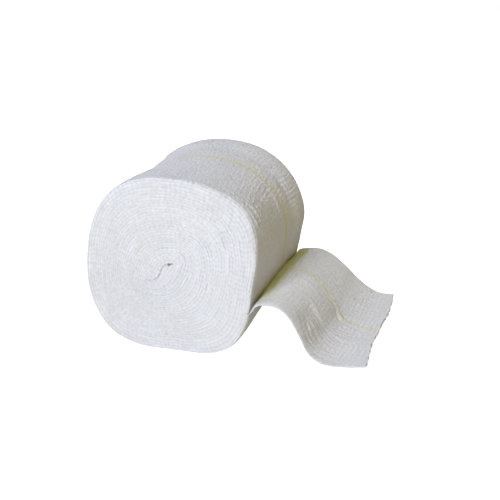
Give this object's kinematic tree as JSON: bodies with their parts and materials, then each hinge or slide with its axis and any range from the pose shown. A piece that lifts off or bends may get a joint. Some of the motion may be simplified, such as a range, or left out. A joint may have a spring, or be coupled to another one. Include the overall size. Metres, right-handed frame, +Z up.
{
  "type": "tubular bandage roll",
  "caption": "Roll of flat knitted cotton tube lying on its side, with a loose end that creases away, humps over and lies flat to a ragged cut edge.",
  "frame": {"origin": "middle of the small flat that the roll rests on", "axes": "+X along the loose end from the roll to its cut, +Y along the roll from its near end to its far end, +Z up"},
  "size_m": [0.164, 0.1158, 0.1028],
  "materials": {
    "cotton_knit": "matt off-white cotton knit with fine lengthwise ribs, a crosswise ladder of elastic courses and one thin pale yellow line"
  },
  "bodies": {
    "root": {"wound_roll": "cotton_knit", "loose_end": "cotton_knit"}
  },
  "joints": []
}
